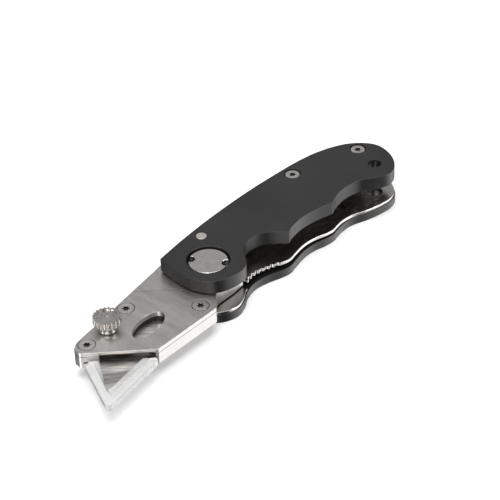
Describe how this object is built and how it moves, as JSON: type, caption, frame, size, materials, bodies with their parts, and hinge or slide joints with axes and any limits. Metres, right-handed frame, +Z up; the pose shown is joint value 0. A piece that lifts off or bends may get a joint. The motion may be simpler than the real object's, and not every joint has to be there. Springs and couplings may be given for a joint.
{
  "type": "folding utility knife",
  "caption": "Folding lock-knife with a swinging steel head that clamps a trapezoid utility blade, thumbscrew clamp, clear push-on blade guard and finger-grooved scales.",
  "frame": {"origin": "under the middle of the open knife's bounding box, on the outer face of the lower scale, which it lies on", "axes": "+X from the blade to the tail, along the open knife; +Y to the spine, away from the cutting edge; +Z up, from the lower scale to the upper"},
  "size_m": [0.17, 0.0372, 0.0176],
  "materials": {
    "black_anodised": "satin",
    "liner_steel": "brushed",
    "leaf_steel": "brushed",
    "ball_steel": "polished",
    "spacer_black": "satin",
    "post_steel": "satin",
    "screw_steel": "satin",
    "pin_steel": "satin",
    "pivot_steel": "polished",
    "washer_bronze": "satin",
    "head_steel": "brushed",
    "cover_steel": "brushed",
    "clamp_steel": "matte",
    "blade_steel": "brushed",
    "guard_clear": "clear",
    "knob_steel": "polished",
    "washer_dark": "matte"
  },
  "bodies": {
    "handle": {"upper_scale": "black_anodised", "lower_scale": "black_anodised", "upper_liner": "liner_steel", "lower_liner": "liner_steel", "back_spacer": "spacer_black", "spacer_posts": "post_steel", "upper_handle_screws": "screw_steel", "lower_handle_screws": "screw_steel", "stop_pin": "pin_steel", "pivot_barrel": "pivot_steel", "pivot_screw": "pivot_steel", "upper_washer": "washer_bronze", "lower_washer": "washer_bronze"},
    "lock": {"lock_leaf": "leaf_steel", "detent_ball": "ball_steel"},
    "head": {"head_base": "head_steel", "head_cover": "cover_steel", "head_screws": "screw_steel", "dowel_pins": "post_steel", "clamp_plate": "clamp_steel", "knob_washer": "washer_dark"},
    "blade": {"blade": "blade_steel"},
    "guard": {"blade_guard": "guard_clear"},
    "collar": {"knob_collar": "knob_steel"},
    "thumbscrew": {"thumb_knob": "knob_steel", "clamp_stud": "post_steel"}
  },
  "joints": [
    {"name": "head_fold", "type": "hinge", "parent": "handle", "child": "head", "pos_m": [-0.01095, 0.00142, 0.0084], "axis": [0, 0, 1], "range_deg": [0, 164], "deforming": ["lock_leaf", "detent_ball"]},
    {"name": "leaf_release", "type": "hinge", "parent": "handle", "child": "lock", "pos_m": [0.05905, 0.00142, 0.004], "axis": [0, 1, 0], "range_deg": [-3, 0], "deforming": ["lock_leaf", "detent_ball"]},
    {"name": "blade_slide", "type": "slide", "parent": "head", "child": "blade", "axis": [-0.9914, -0.1305, 0], "range_m": [0, 0.045]},
    {"name": "guard_pull", "type": "slide", "parent": "blade", "child": "guard", "axis": [-0.9914, -0.1305, 0], "range_m": [0, 0.03]},
    {"name": "thumbscrew_turn", "type": "hinge", "parent": "collar", "child": "thumbscrew", "pos_m": [-0.05758, 0.00779, 0.014], "axis": [0, 0, 1], "range_deg": [0, 720]},
    {"name": "thumbscrew_lift", "type": "slide", "parent": "head", "child": "collar", "axis": [0, 0, 1], "range_m": [0, 0.001]}
  ],
  "couplings": [
    {"joint": "leaf_release", "follows": "head_fold", "ratio": -0.018251},
    {"joint": "thumbscrew_turn", "follows": "thumbscrew_lift", "rad_per_m": 12566}
  ]
}
